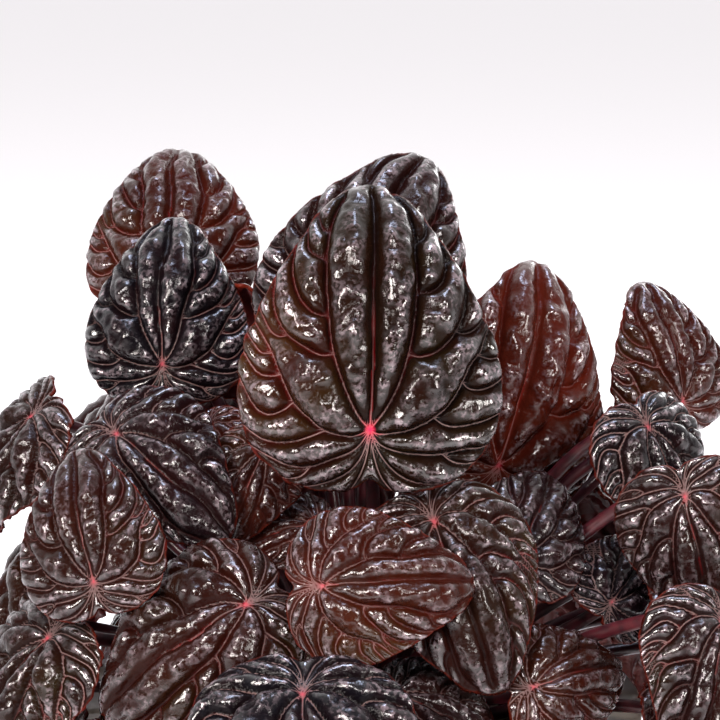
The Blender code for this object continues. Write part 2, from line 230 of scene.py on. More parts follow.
class LeafSettings(bpy.types.PropertyGroup):
    """Sizes and colours of the leaves."""

    sheet: bpy.props.FloatProperty(
        name="Blade thickness", description="Thickness of the blade", default=0.7 * MM, unit="LENGTH"
    )
    puff: bpy.props.FloatProperty(
        name="Puff", description="Height of the quilting, 1 for half round ridges", default=1.25,
        min=0, max=1.5,
    )
    petiole_radius: bpy.props.FloatProperty(
        name="Petiole radius", description="Radius of the petioles", default=1.2 * MM, unit="LENGTH"
    )
    main_detail: bpy.props.IntProperty(
        name="Main leaf detail", description="Faces across the main leaf", default=140
    )
    front_detail: bpy.props.FloatProperty(
        name="Front detail", description="Faces per millimetre of length in front", default=2.7
    )
    outer_detail: bpy.props.FloatProperty(
        name="Outer detail", description="Faces per millimetre of length elsewhere", default=1.6
    )
    # How much painted silvery sheen, a painted highlight, the crests get
    sheen_amount: bpy.props.FloatProperty(
        name="Bloom", description="How strongly the crests are silvered", default=0.75, min=0, max=1
    )
    # Colour of the painted silvery sheen, a painted highlight on the crests
    painted_sheen: bpy.props.StringProperty(
        name="Silver", description="Silvery bloom, sRGB hex", default="a08d94"
    )
    chocolate: bpy.props.StringProperty(
        name="Chocolate", description="Brown leaves, sRGB hex", default="110703"
    )
    plum: bpy.props.StringProperty(name="Plum", description="Darkest leaves, sRGB hex", default="08060a")
    russet: bpy.props.StringProperty(
        name="Russet", description="Warm swells of colour, sRGB hex", default="1c0806"
    )
    shadow: bpy.props.StringProperty(
        name="Shadow", description="Deep in the grooves, sRGB hex", default="060303"
    )
    groove: bpy.props.StringProperty(
        name="Groove", description="Red in the grooves, sRGB hex", default="5c080d"
    )
    ember: bpy.props.StringProperty(
        name="Ember", description="Young and backlit parts, sRGB hex", default="50170d"
    )
    olive: bpy.props.StringProperty(
        name="Olive", description="Green that shows through, sRGB hex", default="1f1c08"
    )
    vein: bpy.props.StringProperty(
        name="Vein", description="Thin vein lines, sRGB hex", default="8e7472"
    )
    heart: bpy.props.StringProperty(
        name="Heart", description="The joint's colour, sRGB hex", default="bc1e42"
    )
    under: bpy.props.StringProperty(
        name="Underside", description="Underside, sRGB hex", default="400b11"
    )
    stalk: bpy.props.StringProperty(name="Petiole", description="Petioles, sRGB hex", default="26090f")
    stalk_fleck: bpy.props.StringProperty(
        name="Petiole fleck", description="Flecks on them, sRGB hex", default="45151b"
    )


class StageSettings(bpy.types.PropertyGroup):
    """Camera and studio."""

    elevation: bpy.props.FloatProperty(
        name="Elevation", description="Angle that the camera looks down", default=math.radians(12),
        subtype="ANGLE",
    )
    distance: bpy.props.FloatProperty(
        name="Distance", description="From the camera to the main leaf", default=0.42, unit="LENGTH"
    )
    span: bpy.props.FloatProperty(
        name="Span", description="Width of the picture at the main leaf", default=122.4 * MM, unit="LENGTH"
    )
    dark_side: bpy.props.FloatProperty(
        name="Dark side", description="Brightness of the room behind the camera", default=0.1, min=0
    )
    white_side: bpy.props.FloatProperty(
        name="White side", description="Brightness of the room behind the plant", default=1.9, min=0
    )
    backdrop: bpy.props.StringProperty(
        name="Backdrop", description="Colour of the floor, sRGB hex", default="f6f4f5"
    )


# Colours, nodes and small mesh steps


def linear(code):
    """An sRGB hex colour as linear red, green, blue and full alpha."""
    parts = (int(code[k:k + 2], 16) / 255 for k in (0, 2, 4))
    return (*(c / 12.92 if c <= 0.04045 else ((c + 0.055) / 1.055) ** 2.4 for c in parts), 1)


def fill(tree, node, inputs):
    """Sets each input of a node, or links it where its value is another node's output."""
    for key, value in inputs.items():
        if isinstance(value, bpy.types.NodeSocket):
            tree.links.new(value, node.inputs[key])
        else:
            node.inputs[key].default_value = value


def add_node(tree, kind, inputs=None, result=0, **settings):
    """Adds a node, sets its settings, sets or links its inputs, and gives one of its outputs."""
    made = tree.nodes.new(kind)
    for key, value in settings.items():
        setattr(made, key, value)
    fill(tree, made, inputs or {})
    return made.outputs[result]


def blank_material(name):
    """A plain material, its node tree, its Principled shader, and places on the object for its textures."""
    made = bpy.data.materials.new(name)
    made.use_nodes = True
    tree = made.node_tree
    return made, tree, tree.nodes["Principled BSDF"], add_node(tree, "ShaderNodeTexCoord", result="Object")


def deselect_all():
    """Leaves nothing selected, in object mode."""
    if bpy.context.object and bpy.context.object.mode != "OBJECT":
        bpy.ops.object.mode_set(mode="OBJECT")
    bpy.ops.object.select_all(action="DESELECT")


def only(piece):
    """Makes a piece the one that operators act on."""
    deselect_all()
    piece.select_set(True)
    bpy.context.view_layer.objects.active = piece


def points_of(piece):
    """The piece's points as an array."""
    flat = np.empty(len(piece.data.vertices) * 3, np.float32)
    piece.data.vertices.foreach_get("co", flat)
    return flat.reshape(-1, 3).astype(float)


def set_points(piece, points):
    """Moves the piece's points."""
    piece.data.vertices.foreach_set("co", np.ascontiguousarray(points, np.float32).ravel())
    piece.data.update()


def tell(piece, name, values):
    """Gives each point of the piece a value that its material reads."""
    made = piece.data.attributes.new(name, "FLOAT", "POINT")
    made.data.foreach_set("value", np.ascontiguousarray(values, np.float32))


def finished(piece, name, finish, slot, *nodes):
    """Names a piece, gives it its material, and hangs it on the frame."""
    piece.name = name
    piece.data.name = name
    if finish:
        piece.data.materials.clear()
        piece.data.materials.append(finish)
    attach(piece, "root")
    if nodes:
        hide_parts(*nodes)
    return piece


def smooth_noise(rng, rows, columns, step):
    """A map of soft random swells from -1 to 1, this many cells apart."""
    coarse = rng.uniform(-1, 1, (int(rows / step) + 3, int(columns / step) + 3))
    down, across = np.arange(rows) / step, np.arange(columns) / step
    i, j = down.astype(int), across.astype(int)
    p, q = (down - i)[:, None], (across - j)[None, :]
    p, q = p * p * (3 - 2 * p), q * q * (3 - 2 * q)
    top = coarse[np.ix_(i, j)] * (1 - q) + coarse[np.ix_(i, j + 1)] * q
    low = coarse[np.ix_(i + 1, j)] * (1 - q) + coarse[np.ix_(i + 1, j + 1)] * q
    return top * (1 - p) + low * p


# The shapes of the frame, repeated


def outline_radius(degrees):
    """The blade's outline at an angle from the tip, a smooth curve through the points of OUTLINE."""
    angle = abs((degrees + 180) % 360 - 180)
    rows = [(-OUTLINE[1][0], OUTLINE[1][1]), *OUTLINE, (360 - OUTLINE[-2][0], OUTLINE[-2][1])]
    index = next(i for i in range(1, len(rows) - 2) if angle <= rows[i + 1][0])
    (a0, r0), (a1, r1), (a2, r2), (a3, r3) = rows[index - 1: index + 3]
    t = (angle - a1) / (a2 - a1)
    slope1 = (r2 - r0) / (a2 - a0) * (a2 - a1)
    slope2 = (r3 - r1) / (a3 - a1) * (a2 - a1)
    return (
        (2 * t**3 - 3 * t**2 + 1) * r1
        + (t**3 - 2 * t**2 + t) * slope1
        + (3 * t**2 - 2 * t**3) * r2
        + (t**3 - t**2) * slope2
    )


def blade_height(x, y, fold):
    """Height of the smooth blade in its own plane: a dome with a nodding tip, folded along the midrib."""
    dome = -0.34 * (x * x + (y - 0.22) ** 2 - 0.22**2)
    nod = -0.35 * np.maximum(0.0, y - 0.45) ** 2
    folded = -fold * (np.sqrt(x * x + 0.01) - 0.1)
    return dome + nod + folded


def leaf_axes(facing, rising, turn):
    """Across, tip and normal directions of a blade."""
    around, above, clock = (math.radians(value) for value in (facing, rising, turn))
    level, lift = math.cos(above), math.sin(above)
    normal = Vector((math.sin(around) * level, -math.cos(around) * level, lift))
    upward = Vector((-math.sin(around) * lift, math.cos(around) * lift, level))
    rightward = upward.cross(normal)
    tip = math.cos(clock) * upward + math.sin(clock) * rightward
    return tip.cross(normal), tip, normal


CROWN_RADIUS, CROWN_DOME, CROWN_FOOT, SOIL_TOP = 16 * MM, 14 * MM, 70 * MM, 83 * MM
BASE_SPACING, BASE_LOWEST, SPREAD_ROUNDS, SPREAD_PUSH = 4.4 * MM, 0.16, 200, 0.3
PETIOLE_CORE, PETIOLE_LIFT = 1.25 * MM, 0.5
# How far short of the blade's top a petiole ends, and its flare there, in millimetres and as a share
PETIOLE_DEPTH, FLARE_REACH, FLARE = 1.35, 2.2, 0.7


def petiole_bases(joints):
    """Where each petiole stands on the crown: towards its blade, pushed apart to the spacing."""
    centre = Vector((0, 0, SOIL_TOP))
    ways = [(joint - centre).normalized() for joint in joints]
    for _ in range(SPREAD_ROUNDS):
        pushes = [Vector() for _ in ways]
        for i, one in enumerate(ways):
            for j in range(i + 1, len(ways)):
                gap = one - ways[j]
                apart = gap.length * CROWN_RADIUS
                if apart < BASE_SPACING:
                    push = gap.normalized() * (BASE_SPACING - apart) / CROWN_RADIUS * SPREAD_PUSH
                    pushes[i] += push
                    pushes[j] -= push
        ways = [(way + push).normalized() for way, push in zip(ways, pushes)]
        ways = [Vector((way.x, way.y, max(way.z, BASE_LOWEST))).normalized() for way in ways]
    return ways


def petiole_handles(way, joint, tip, normal):
    """The four handles of a petiole's centre line, from the crown to the blade."""
    clearance = PETIOLE_CORE * 0.2 + GAP
    wide, high = CROWN_RADIUS + clearance, CROWN_DOME + clearance
    start = Vector((0, 0, SOIL_TOP)) + Vector((way.x * wide, way.y * wide, way.z * high))
    reach = (joint - start).length
    leaving = (way + Vector((0, 0, PETIOLE_LIFT))).normalized()
    arriving = (normal * 0.8 + tip * 0.35).normalized()
    return start, start + leaving * reach * 0.4, joint - arriving * reach * 0.28, joint


# The quilting of a blade, in shares of its length

# Swells and crinkles of the quilting: how strong, and how far apart
SWELL, SWELL_APART, CRINKLE, CRINKLE_APART = 0.20, 0.055, 0.14, 0.028
# Dents by the finest veins: how far apart, how scattered, how wide, and how strongly they hold the skin down
DENT_APART, DENT_SCATTER, DENT_WIDTH, DENT_PULL = 0.12, 0.42, 0.014, 300
# Solving the blown up skin: rounds for each cell across and at least, and how far each step overshoots
ROUNDS_PER_LENGTH, ROUNDS_LEAST, OVERSHOOT = 1.5, 60, 1.82
# How softly the skin leaves the veins, and how wide the mean is that crests are told by
ROUND_OFF, CREST_REACH, CREST_FLOOR = 0.008, 0.06, 0.004
# Veins that stray: how far apart the swells are, and how near the joint they are still
STRAY_APART, STRAY_FROM = 0.22, 0.35
# Smooth blades: where a grid's middle lies, and the rim's scallops and waves, how strong and how far apart
MIDDLE, SCALLOP, SCALLOP_APART, WAVE, WAVE_APART, RIM_FROM = 0.30, 0.022, 0.06, 0.03, 0.30, 0.86
# How deep the vein lines lie under the smooth blade
SUNK = 0.008
# Farther than anything on a blade
FAR = 9.0


def rounded(points):
    """A smooth curve through a line's points, with three steps between each two."""
    ends = np.concatenate((2 * points[:1] - points[1:2], points, 2 * points[-1:] - points[-2:-1]))
    steps = [points[:1]]
    for p0, p1, p2, p3 in zip(ends, ends[1:], ends[2:], ends[3:]):
        for t in (1 / 3, 2 / 3, 1):
            steps.append(
                0.5 * (2 * p1 + (p2 - p0) * t + (2 * p0 - 5 * p1 + 4 * p2 - p3) * t**2
                       + (3 * p1 - p0 - 3 * p2 + p3) * t**3)[None]
            )
    return np.concatenate(steps)


class Quilt:
    """The veins and the raised quilting between them of one blade, all in shares of its length."""

    LEFT, RIGHT, FOOT, TOP = -0.70, 0.70, -0.34, 1.06

    def __init__(self, seed, cell, puff, wander, mirrored):
        self.cell = cell
        self.rng = np.random.default_rng(seed)
        self.columns = int((self.RIGHT - self.LEFT) / cell) + 1
        self.rows = int((self.TOP - self.FOOT) / cell) + 1
        self.wander = wander
        side = -1 if mirrored else 1
        self.veins = [rounded(np.array(points) * (side, 1)) for points in VEINS]
        if wander:
            step = STRAY_APART / cell
            self.stray = [smooth_noise(self.rng, self.rows, self.columns, step) for _ in range(2)]
            self.veins = [self.strayed(points) for points in self.veins]
        self.height = self.raised(puff)
        self.crest = self.height / (self.blurred(self.height) + CREST_FLOOR)

    def strayed(self, points):
        """A vein moved a little, less near the joint, so that no two blades are alike."""
        share = np.minimum(1, np.hypot(*points.T) / STRAY_FROM)[:, None]
        moved = np.stack([self.sampled(field, points[:, 0], points[:, 1]) for field in self.stray], axis=1)
        return points + moved * share * self.wander

    def sampled(self, field, x, y):
        """The values of a map at places on the blade."""
        j = np.clip((x - self.LEFT) / self.cell, 0, self.columns - 1.001)
        i = np.clip((y - self.FOOT) / self.cell, 0, self.rows - 1.001)
        i0, j0 = i.astype(int), j.astype(int)
        p, q = i - i0, j - j0
        top = field[i0, j0] * (1 - q) + field[i0, j0 + 1] * q
        low = field[i0 + 1, j0] * (1 - q) + field[i0 + 1, j0 + 1] * q
        return top * (1 - p) + low * p

    def raised(self, puff):
        """The height of the quilting: a skin blown up between the veins, which hold it down."""
        x = self.LEFT + np.arange(self.columns)[None, :] * self.cell + np.zeros((self.rows, 1))
        y = self.FOOT + np.arange(self.rows)[:, None] * self.cell + np.zeros((1, self.columns))
        angles = np.degrees(np.arctan2(x, y))
        table = np.array([outline_radius(a) for a in range(-180, 181)])
        inside = np.hypot(x, y) < np.interp(angles, np.arange(-180, 181), table)
        for points in self.veins:
            for a, b in zip(points, points[1:]):
                steps = max(2, int(np.hypot(*(b - a)) / self.cell * 2.5))
                line = a + (b - a) * np.linspace(0, 1, steps)[:, None]
                j = np.clip(((line[:, 0] - self.LEFT) / self.cell).round().astype(int), 0, self.columns - 1)
                i = np.clip(((line[:, 1] - self.FOOT) / self.cell).round().astype(int), 0, self.rows - 1)
                inside[i, j] = False
        dents = self.dents(x, y)
        rise = np.zeros(inside.shape)
        chequer = (np.add.outer(np.arange(self.rows), np.arange(self.columns)) % 2).astype(bool)
        pull = 4 + dents * self.cell**2
        for _ in range(int(ROUNDS_PER_LENGTH / self.cell) + ROUNDS_LEAST):
            for half in (chequer, ~chequer):
                around = np.zeros(rise.shape)
                around[1:-1, 1:-1] = rise[:-2, 1:-1] + rise[2:, 1:-1] + rise[1:-1, :-2] + rise[1:-1, 2:]
                fresh = (around + self.cell**2) / pull
                np.copyto(rise, np.where(inside, rise + OVERSHOOT * (fresh - rise), 0), where=half)
        height = np.sqrt(2 * np.maximum(rise, 0) + ROUND_OFF**2) - ROUND_OFF
        swell = smooth_noise(self.rng, self.rows, self.columns, SWELL_APART / self.cell)
        crinkle = smooth_noise(self.rng, self.rows, self.columns, CRINKLE_APART / self.cell)
        return height * (puff + SWELL * swell + CRINKLE * crinkle)

    def blurred(self, field):
        """The map's mean over a square about each cell."""
        reach = int(CREST_REACH / self.cell)
        for axis in (0, 1):
            ends = [(reach + 1, reach) if axis == k else (0, 0) for k in (0, 1)]
            total = np.cumsum(np.pad(field, ends, mode="edge"), axis=axis)
            count = field.shape[axis]
            past, before = (np.take(total, np.arange(count) + k, axis=axis) for k in (2 * reach + 1, 0))
            field = (past - before) / (2 * reach + 1)
        return field

    def dents(self, x, y):
        """How strongly the finest veins hold the skin down between the main ones."""
        places = np.array(
            [(u, v) for u in np.arange(-0.7, 0.75, DENT_APART) for v in np.arange(-0.35, 1.1, DENT_APART)]
        )
        places += self.rng.uniform(-DENT_SCATTER, DENT_SCATTER, places.shape) * DENT_APART
        nearest = np.full(x.shape, FAR)
        second = np.full(x.shape, FAR)
        for u, v in places:
            low, high = (int((v + side - self.FOOT) / self.cell) for side in (-0.2, 0.2))
            left, right = (int((u + side - self.LEFT) / self.cell) for side in (-0.2, 0.2))
            part = (slice(max(0, low), max(0, high)), slice(max(0, left), max(0, right)))
            away = np.hypot(x[part] - u, (y[part] - v) * 0.8)
            second[part] = np.minimum(second[part], np.maximum(nearest[part], away))
            nearest[part] = np.minimum(nearest[part], away)
        return DENT_PULL * np.exp(-(((second - nearest) / DENT_WIDTH) ** 2))

    def vein_distances(self, x, y):
        """For each place: the distance to the nearest vein, signed by its side and unsigned."""
        best = np.full(len(x), FAR)
        signed = np.full(len(x), FAR)
        for points in self.veins:
            for a, b in zip(points, points[1:]):
                d = b - a
                t = np.clip(((x - a[0]) * d[0] + (y - a[1]) * d[1]) / (d @ d), 0, 1)
                dx, dy = x - a[0] - t * d[0], y - a[1] - t * d[1]
                away = np.hypot(dx, dy)
                closer = away < best
                best = np.where(closer, away, best)
                signed = np.where(closer, np.sign(d[0] * dy - d[1] * dx) * away, signed)
        return signed, best


def blade_places(count):
    """Where the points of a square grid lie on the blade: a square made a disc, then the disc the outline."""
    side = np.linspace(-1, 1, count + 1)
    x, y = (part.ravel() for part in np.meshgrid(side, side))
    u, v = x * np.sqrt(1 - y * y / 2), y * np.sqrt(1 - x * x / 2)
    share, angle = np.hypot(u, v), np.arctan2(u, v)
    turns = np.radians(np.arange(-180, 180.5, 0.5))
    rim = np.array([outline_radius(math.degrees(a)) for a in turns])
    rim_x, rim_y = rim * np.sin(turns), rim * np.cos(turns) - MIDDLE
    bearing, reach = np.arctan2(rim_x, rim_y), np.hypot(rim_x, rim_y)
    order = np.argsort(bearing)
    bearing, reach = bearing[order], reach[order]
    bearing = np.concatenate((bearing[-3:] - math.tau, bearing, bearing[:3] + math.tau))
    reach = np.concatenate((reach[-3:], reach, reach[:3]))
    far = np.interp(angle, bearing, reach)
    return share * far * np.sin(angle), share * far * np.cos(angle) + MIDDLE, share


def make_blade(index, row, count, cell, settings, mirrored, wander):
    """One blade: a grid bent to the leaf and quilted."""
    x, y, z, facing, rising, turn, length, fold, ruddy, plum = row
    joint, length = Vector((x, y, z)) * MM, length * MM
    across, tip, normal = (np.array(axis) for axis in leaf_axes(facing, rising, turn))
    quilt = Quilt(index, cell, settings.puff, wander, mirrored)
    rng = quilt.rng
    deselect_all()
    bpy.ops.mesh.primitive_grid_add(x_subdivisions=count, y_subdivisions=count, size=2)
    blade = bpy.context.object
    u, v, share = blade_places(count)
    rim = np.clip((share - RIM_FROM) / (1 - RIM_FROM), 0, 1)
    scallop = smooth_noise(rng, quilt.rows, quilt.columns, SCALLOP_APART / cell)
    wave = smooth_noise(rng, quilt.rows, quilt.columns, WAVE_APART / cell)
    notch = 1 + SCALLOP * rim * quilt.sampled(scallop, u, v)
    u, v = u * notch, MIDDLE + (v - MIDDLE) * notch
    rise = quilt.sampled(quilt.height, u, v)
    macro = blade_height(u, v, fold) + WAVE * quilt.sampled(wave, u, v) * share**2
    step = 0.002
    slope_u = (blade_height(u + step, v, fold) - blade_height(u - step, v, fold)) / (2 * step)
    slope_v = (blade_height(u, v + step, fold) - blade_height(u, v - step, fold)) / (2 * step)
    stand = (rise - SUNK) / np.sqrt(1 + slope_u**2 + slope_v**2)
    flat_u, flat_v = u - slope_u * stand, v - slope_v * stand
    shape = np.outer(flat_u, across) + np.outer(flat_v, tip) + np.outer(macro + stand, normal)
    set_points(blade, np.array(joint) + shape * length)
    signed, away = quilt.vein_distances(u, v)
    in_mm = length / MM
    main = index == 0
    # The left side of the leaf, where the main one is warm and greenish
    left = np.clip(-u * (-1 if mirrored else 1) * 3 - 0.15, 0, 1) * np.clip(1 - np.abs(v - 0.3) * 1.6, 0, 1)
    midrib = np.exp(-((u / 0.035) ** 2)) * np.clip((0.62 - v) * 5, 0, 1) * (v > -0.02)
    lobes = np.clip(1.1 - 2.2 * v, 0.06, 1) * (0.42 if main else 0.3)
    waved = 0.25 * np.clip(quilt.sampled(wave, u, v), 0, 1)
    warm = ruddy * (1 + 0.5 * quilt.sampled(wave, v, u)) + (0.3 * left if main else 0)
    # What the material reads, point by point; side, away, edge and heart are distances in millimetres
    for name, values in (
        ("side", signed * in_mm), ("away", away * in_mm), ("crest", quilt.sampled(quilt.crest, u, v)),
        ("edge", (1 - share) * in_mm * 0.5), ("heart", np.hypot(u, v) * (42.5 if main else 52.0)),
        ("pink", np.full(len(u), 0.95 if main else 0.4)), ("ruddy", np.clip(warm, 0, 1)),
        ("plum", np.full(len(u), float(plum))), ("green", (0.12 + 0.7 * left) * (1 - plum)),
        ("blush", np.clip(midrib + 0.6 * left + waved, 0, 1) * (1 - 0.7 * plum)),
        ("drawn", lobes + 0.2 * left),
    ):
        tell(blade, name, values)
    return blade


def make_petiole(way, joint, tip, normal, radius):
    """One petiole as a tapered tube along its curve."""
    start, leaving, arriving, end = petiole_handles(way, joint, tip, normal)
    deselect_all()
    bpy.ops.curve.primitive_bezier_curve_add()
    line = bpy.context.object
    first, last = line.data.splines[0].bezier_points
    deep = end - normal * PETIOLE_DEPTH * MM
    for point, place, back, ahead in (
        (first, start, start * 2 - leaving, leaving), (last, deep, arriving, end * 2 - arriving),
    ):
        point.handle_left_type = point.handle_right_type = "FREE"
        point.co, point.handle_left, point.handle_right = place, back, ahead
    first.radius, last.radius = 1.15, 0.95
    line.data.dimensions = "3D"
    line.data.resolution_u = 14
    line.data.bevel_depth = radius
    line.data.bevel_resolution = 3
    line.data.use_fill_caps = True
    only(line)
    bpy.ops.object.convert(target="MESH")
    tube = bpy.context.object
    points = points_of(tube)
    off = points - np.array(end)
    near = np.exp(-((np.linalg.norm(off, axis=1) / (FLARE_REACH * MM)) ** 2))
    flat = off - np.outer(off @ np.array(normal), np.array(normal))
    set_points(tube, points + flat * near[:, None] * FLARE)
    return tube


# Materials


def leaf_top(settings):
    """Living leaf skin, waxy and quilted: near-black brown on the crests, red where it thins in the grooves,
    with painted shade deep in the grooves, fine cells under a clear waxy coat that break the studio light
    into grains, and a painted silvery sheen in grains on the crests, metal-like so that it also reflects that
    light."""
    made, tree, skin, place = blank_material("leaf_skin_waxy")
    told = {
        name: add_node(tree, "ShaderNodeAttribute", result="Fac", attribute_name=name)
        for name in "crest side away edge heart pink ruddy plum green blush drawn".split()
    }
    for name, scale, detail in (
        # Swells of colour about 6 mm across
        ("mottle", 170.0, 3.0),
        # Patches of green that show through, about 10 mm across
        ("patch", 95.0, 2.0),
        # Puckers about 0.9 mm across
        ("pucker", 1300.0, 4.0),
        # Patches of the painted silvery sheen about 5 mm across
        ("sheen_amount", 210.0, 2.0),
    ):
        told[name] = add_node(tree, "ShaderNodeTexNoise", {"Vector": place, "Scale": scale, "Detail": detail})
    # Skin cells, really under 0.1 mm, drawn 0.35 mm across so that they show
    cells = add_node(tree, "ShaderNodeTexVoronoi", {"Vector": place, "Scale": 2800.0}, feature="SMOOTH_F1")
    told["beside"] = add_node(tree, "ShaderNodeMath", {0: told["side"]}, operation="ABSOLUTE")
    # Each row: a new share, what it is made from, that one's low and high, and the share at each
    for name, *values in (
        # Painted silvery sheen in grains on the crests, a painted highlight
        ("raised", "crest", 0.98, 1.6, 0.0, settings.sheen_amount),
        ("sheen_patches", "sheen_amount", 0.38, 0.56, 0.0, "raised"),
        ("painted_sheen", "pucker", 0.46, 0.62, 0.0, "sheen_patches"),
        ("olive", "patch", 0.42, 0.62, 0.0, "green"),
        ("worn", "mottle", 0.4, 0.7, 0.0, 0.35),
        # The grooves' shade and red, and the red of the ruddy leaves, partly their own and partly a painted
        # glow of light through the blade, which fades towards the crests
        ("deep", "crest", 0.1, 0.9, 0.95, 0.0),
        ("red", "crest", 0.1, 0.45, "blush", 0.0),
        ("faded", "crest", 0.2, 1.4, 1.0, 0.45),
        # Vein lines about 0.25 mm wide, and the leaf's edge
        ("near", "away", 0.25, 0.5, "drawn", 0.0),
        ("line", "beside", 0.03, 0.15, "near", 0.0),
        ("margin", "edge", 0.05, 0.4, 0.55, 0.0),
        # The pink heart where the petiole meets the blade, and its rays along the veins
        ("core", "heart", 0.2, 1.1, "pink", 0.0),
        ("around", "heart", 0.8, 2.8, "pink", 0.0),
        # What the surface is: the painted silvery sheen is metal-like, so that it also takes real
        # reflections, and a little duller, and the crests wear clear wax
        ("metal", "painted_sheen", 0.0, 1.0, 0.0, 0.97),
        ("dull", "painted_sheen", 0.0, 1.0, 0.18, 0.24),
        ("wax", "crest", 0.95, 1.5, 0.0, 1.0),
    ):
        known = [told.get(value, value) for value in values]
        told[name] = add_node(tree, "ShaderNodeMapRange", dict(enumerate(known)))
    # The ruddy leaves' red: their own red together with a painted glow of light through the blade, strongest
    # in the grooves
    glow = add_node(tree, "ShaderNodeMath", {0: told["ruddy"], 1: told["faded"]}, operation="MULTIPLY")
    rays = add_node(tree, "ShaderNodeMath", {0: told["around"], 1: told["line"]}, operation="MULTIPLY")
    star = add_node(tree, "ShaderNodeMath", {0: told["core"], 1: rays}, operation="MAXIMUM")
    body = linear(settings.chocolate)
    # Layers of colour: the silvery layer is a painted highlight on the crests, and the shadow layer is
    # painted shade in the grooves
    for share, colour in (
        (told["plum"], settings.plum), (told["olive"], settings.olive), (told["worn"], settings.russet),
        (told["deep"], settings.shadow), (told["red"], settings.groove), (glow, settings.ember),
        (told["painted_sheen"], settings.painted_sheen), (told["line"], settings.vein), (told["margin"], settings.ember),
        (star, settings.heart),
    ):
        body = add_node(
            tree, "ShaderNodeMix", {SHARE: share, UNDER: body, OVER: linear(colour)}, MIXED, data_type="RGBA"
        )
    pucker = told["pucker"]
    coarse = add_node(tree, "ShaderNodeBump", {"Strength": 0.55, "Distance": 0.3 * MM, "Height": pucker})
    fine = add_node(
        tree, "ShaderNodeBump", {"Strength": 0.35, "Distance": 0.09 * MM, "Height": cells, "Normal": coarse}
    )
    waved = add_node(tree, "ShaderNodeBump", {"Strength": 0.4, "Distance": 0.25 * MM, "Height": pucker})
    fill(tree, skin, {
        "Base Color": body, "Normal": fine, "Metallic": told["metal"], "Roughness": told["dull"],
        "Coat Weight": told["wax"], "Coat Normal": waved, "Coat Roughness": 0.13, "Coat IOR": 1.75,
        "IOR": 1.42, "Specular IOR Level": 0.08,
    })
    return made


def leaf_under(settings):
    """Smooth leaf underside: wine red, duller than the top, paler along the veins that stand out there."""
    made, tree, skin, place = blank_material("leaf_underside_smooth")
    away = add_node(tree, "ShaderNodeAttribute", result="Fac", attribute_name="away")
    mottle = add_node(tree, "ShaderNodeTexNoise", {"Vector": place, "Scale": 240.0, "Detail": 4.0})
    cells = add_node(tree, "ShaderNodeTexNoise", {"Vector": place, "Scale": 1500.0, "Detail": 2.0})
    dark = add_node(tree, "ShaderNodeMapRange", {VALUE: mottle, LOW: 0.35, HIGH: 0.7, TO: 0.5})
    veins = add_node(tree, "ShaderNodeMapRange", {VALUE: away, LOW: 0.2, HIGH: 0.7, FROM: 0.4, TO: 0.0})
    body = linear(settings.under)
    for share, colour in ((dark, settings.groove), (veins, settings.ember)):
        body = add_node(
            tree, "ShaderNodeMix", {SHARE: share, UNDER: body, OVER: linear(colour)}, MIXED, data_type="RGBA"
        )
    fine = add_node(tree, "ShaderNodeBump", {"Strength": 0.4, "Distance": 0.1 * MM, "Height": cells})
    fill(tree, skin, {"Base Color": body, "Normal": fine, "Roughness": 0.42, "Specular IOR Level": 0.35})
    return made


def petiole_skin(settings):
    """Juicy leaf stalk: translucent wine red with faint paler flecks, smooth and glossy."""
    made, tree, skin, place = blank_material("petiole_fleshy_smooth")
    fleck = add_node(tree, "ShaderNodeTexNoise", {"Vector": place, "Scale": 420.0, "Detail": 4.0})
    share = add_node(tree, "ShaderNodeMapRange", {VALUE: fleck, LOW: 0.35, HIGH: 0.7})
    body = add_node(
        tree, "ShaderNodeMix",
        {SHARE: share, UNDER: linear(settings.stalk), OVER: linear(settings.stalk_fleck)}, MIXED,
        data_type="RGBA",
    )
    fill(tree, skin, {
        "Base Color": body, "Roughness": 0.3, "Specular IOR Level": 0.4, "Subsurface Weight": 0.1,
        "Subsurface Radius": (3 * MM, MM, MM),
    })
    return made


def clay(settings):
    """Fired stoneware with a dry matt slip: pale, dull, with fine grit and the faint rings of throwing."""
    made, tree, body, place = blank_material("stoneware_matt_slip")
    cloud = add_node(tree, "ShaderNodeTexNoise", {"Vector": place, "Scale": 35.0, "Detail": 5.0})
    grit = add_node(tree, "ShaderNodeTexVoronoi", {"Vector": place, "Scale": 900.0}, feature="F1")
    grain = add_node(tree, "ShaderNodeTexNoise", {"Vector": place, "Scale": 1800.0, "Detail": 3.0})
    # Throwing rings about 5 mm apart
    rings = add_node(
        tree, "ShaderNodeTexWave", {"Vector": place, "Scale": 62.0, "Distortion": 1.5, "Detail": 1.0}, 1,
        wave_type="BANDS", bands_direction="Z",
    )
    cloudy = add_node(tree, "ShaderNodeMapRange", {VALUE: cloud, LOW: 0.3, HIGH: 0.7, TO: 0.10})
    specks = add_node(tree, "ShaderNodeMapRange", {VALUE: grit, LOW: 0.10, HIGH: 0.20, FROM: 0.5, TO: 0.0})
    shade = linear(settings.clay)
    for share in (cloudy, specks):
        shade = add_node(
            tree, "ShaderNodeMix", {SHARE: share, UNDER: shade, OVER: linear(settings.speck)}, MIXED,
            data_type="RGBA",
        )
    low = add_node(tree, "ShaderNodeBump", {"Strength": 0.25, "Distance": 0.25 * MM, "Height": rings})
    fine = add_node(
        tree, "ShaderNodeBump", {"Strength": 0.3, "Distance": 0.08 * MM, "Height": grain, "Normal": low}
    )
    dull = add_node(tree, "ShaderNodeMapRange", {VALUE: cloud, LOW: 0.3, HIGH: 0.7, FROM: 0.62, TO: 0.74})
    fill(tree, body, {"Base Color": shade, "Normal": fine, "Roughness": dull})
    return made


